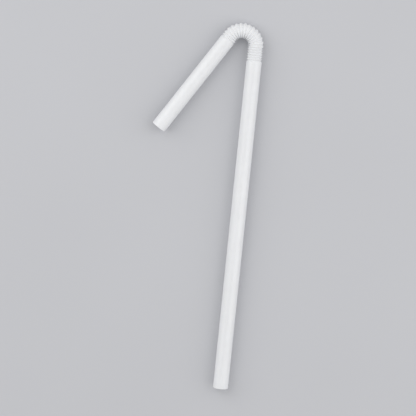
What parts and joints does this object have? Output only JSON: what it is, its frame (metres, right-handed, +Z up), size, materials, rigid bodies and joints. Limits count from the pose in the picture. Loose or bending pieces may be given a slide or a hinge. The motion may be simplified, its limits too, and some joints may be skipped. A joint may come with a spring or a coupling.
{
  "type": "flexible drinking straw",
  "caption": "White flexible drinking straw, a thin plastic tube folded over at its corrugated section into a long leg and a short arm.",
  "frame": {"origin": "on the surface that the straw lies on, under the middle of its outline", "axes": "+Y along the long leg towards the bend, +Z up off the surface, and the short arm leans away from the leg towards -X"},
  "size_m": [0.0402, 0.1458, 0.0062],
  "materials": {
    "straw_plastic": "smooth white polypropylene, slightly translucent, with a soft sheen"
  },
  "bodies": {
    "root": {"straw": "straw_plastic"}
  },
  "joints": []
}
